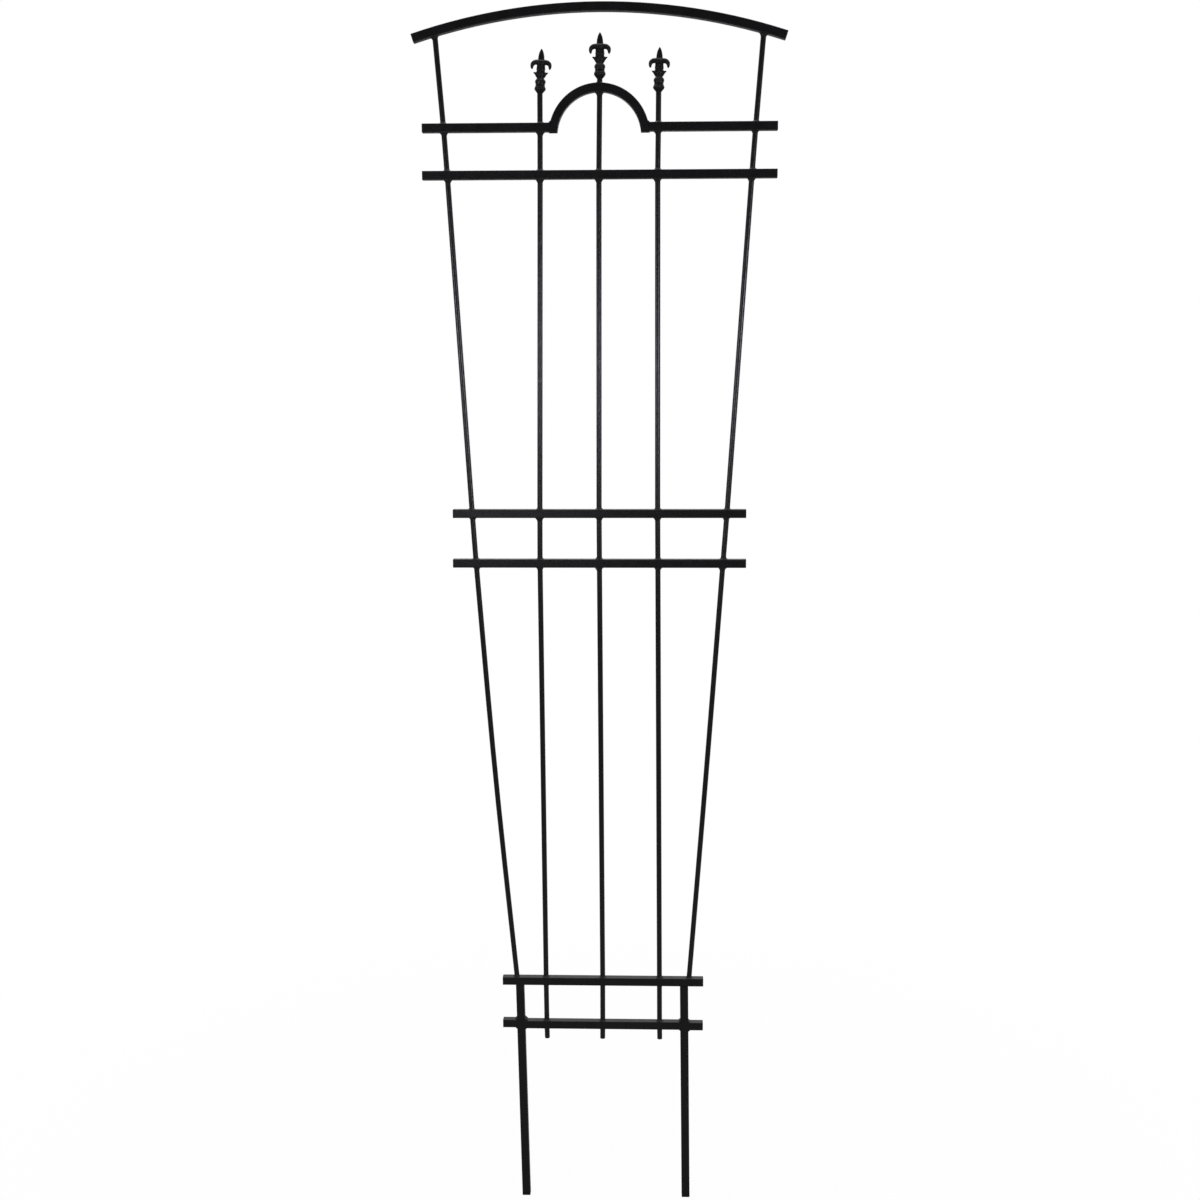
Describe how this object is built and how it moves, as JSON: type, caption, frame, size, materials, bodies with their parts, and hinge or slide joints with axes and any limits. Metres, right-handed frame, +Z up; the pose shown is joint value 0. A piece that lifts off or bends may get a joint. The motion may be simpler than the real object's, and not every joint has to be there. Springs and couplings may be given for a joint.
{
  "type": "metal trellis arch",
  "caption": "Flat garden trellis of black steel: an arched top, a hoop with fleur-de-lis finials, upright rods, paired cross rails and two stakes to push into the ground.",
  "frame": {"origin": "midway across the arch, level with the cut ends of the stakes, on the middle plane of the rails", "axes": "+X along the rails to the right, +Y from front to back, +Z up towards the arch"},
  "size_m": [0.5364, 0.0172, 1.829],
  "materials": {
    "tube": "satin black powder coat on square steel tube",
    "rod": "satin black powder coat on drawn steel rod",
    "casting": "black powder coat on a sand casting",
    "weld": "black powder coat on weld metal",
    "plug": "matt black moulded plastic"
  },
  "bodies": {
    "root": {"top_arch_rail": "tube", "hoop": "tube", "upper_rail_left": "tube", "upper_rail_right": "tube", "shoulder_rail": "tube", "middle_rail_upper": "tube", "middle_rail_lower": "tube", "bottom_rail_upper": "tube", "bottom_rail_lower": "tube", "bottom_stub_left": "tube", "bottom_stub_right": "tube", "left_stake": "tube", "right_stake": "tube", "left_picket": "rod", "center_picket": "rod", "right_picket": "rod", "left_side_rod": "rod", "right_side_rod": "rod", "left_finial": "casting", "center_finial": "casting", "right_finial": "casting", "rail_end_plugs": "plug", "arch_welds": "weld", "hoop_welds": "weld", "upper_rail_welds": "weld", "shoulder_rail_welds": "weld", "middle_upper_rail_welds": "weld", "middle_lower_rail_welds": "weld", "bottom_upper_rail_welds": "weld", "bottom_lower_rail_welds": "weld"}
  },
  "joints": []
}
